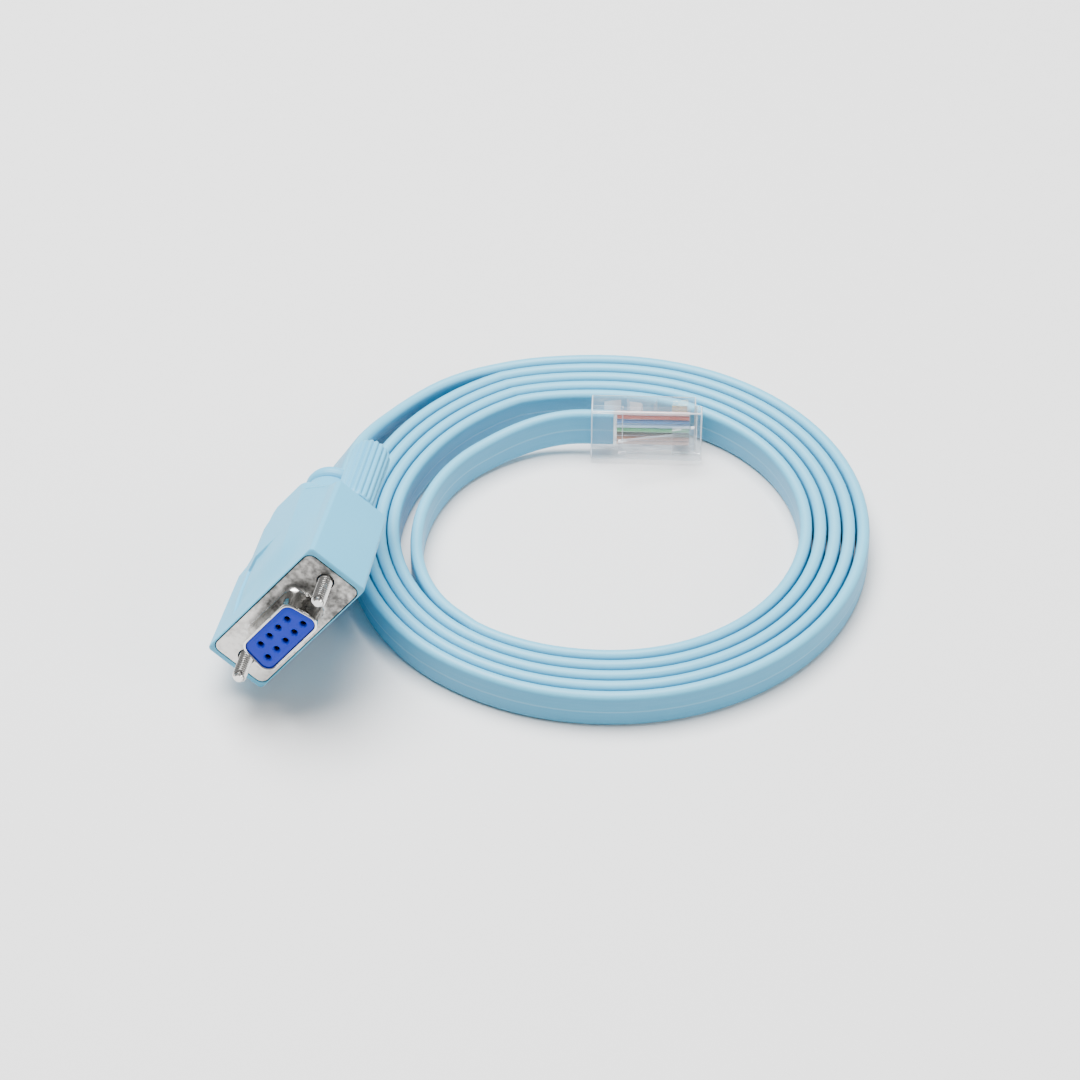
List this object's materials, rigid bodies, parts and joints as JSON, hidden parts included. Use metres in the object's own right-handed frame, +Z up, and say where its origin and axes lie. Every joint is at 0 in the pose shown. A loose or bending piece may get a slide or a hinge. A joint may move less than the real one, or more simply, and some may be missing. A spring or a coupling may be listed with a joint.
{
  "type": "console cable",
  "caption": "Flat serial console cable lying coiled on edge, with a moulded D-shaped serial socket and thumbscrews on one end and a clear modular plug on the other.",
  "frame": {"origin": "middle of the footprint, on the floor the coil lies on", "axes": "+Z up from the floor, +X across from the serial socket's end of the part to the modular plug's side, -Y towards the side the serial socket faces"},
  "size_m": [0.1304, 0.1034, 0.0374],
  "materials": {
    "jacket": "soft satin vinyl",
    "hood": "satin moulded vinyl",
    "nickel": "dull tin or nickel plate",
    "steel": "bright plated steel",
    "insulator": "satin moulded plastic",
    "gold": "polished",
    "clear_plastic": "clear moulded plastic",
    "wire_white": "wire insulation",
    "wire_orange": "wire insulation",
    "wire_blue": "wire insulation",
    "wire_light": "wire insulation",
    "wire_green": "wire insulation",
    "wire_dark": "wire insulation",
    "wire_brown": "wire insulation",
    "wire_pink": "wire insulation"
  },
  "bodies": {
    "cable": {"cable_coil": "jacket", "cable_hood_lead": "jacket", "cable_plug_lead": "jacket", "hood": "hood", "dsub_shell": "nickel", "dsub_insulator": "insulator", "socket_contact_1": "gold", "socket_contact_2": "gold", "socket_contact_3": "gold", "socket_contact_4": "gold", "socket_contact_5": "gold", "socket_contact_6": "gold", "socket_contact_7": "gold", "socket_contact_8": "gold", "socket_contact_9": "gold", "plug_body": "clear_plastic", "wire_1": "wire_white", "wire_2": "wire_orange", "wire_3": "wire_blue", "wire_4": "wire_light", "wire_5": "wire_green", "wire_6": "wire_dark", "wire_7": "wire_brown", "wire_8": "wire_pink", "plug_contact_1": "gold", "plug_contact_2": "gold", "plug_contact_3": "gold", "plug_contact_4": "gold", "plug_contact_5": "gold", "plug_contact_6": "gold", "plug_contact_7": "gold", "plug_contact_8": "gold"},
    "thumbscrew_left": {"jackscrew_left": "steel", "knob_left": "hood"},
    "thumbscrew_right": {"jackscrew_right": "steel", "knob_right": "hood"},
    "latch": {"plug_latch": "clear_plastic"}
  },
  "joints": [
    {"name": "left_thumbscrew_turn", "type": "hinge", "parent": "cable", "child": "thumbscrew_left", "pos_m": [-0.05755, -0.04346, 0.0108], "axis": [0.1565, 0.9768, -0.1461], "continuous": true},
    {"name": "right_thumbscrew_turn", "type": "hinge", "parent": "cable", "child": "thumbscrew_right", "pos_m": [-0.0417, -0.0431, 0.03013], "axis": [0.1565, 0.9768, -0.1461], "continuous": true},
    {"name": "latch_press", "type": "hinge", "parent": "cable", "child": "latch", "pos_m": [0.03069, 0.0257, 0.00675], "axis": [0.0049, 0.1391, 0.9903], "range_deg": [-10, 0], "stiffness_Nm_per_rad": 0.05}
  ]
}
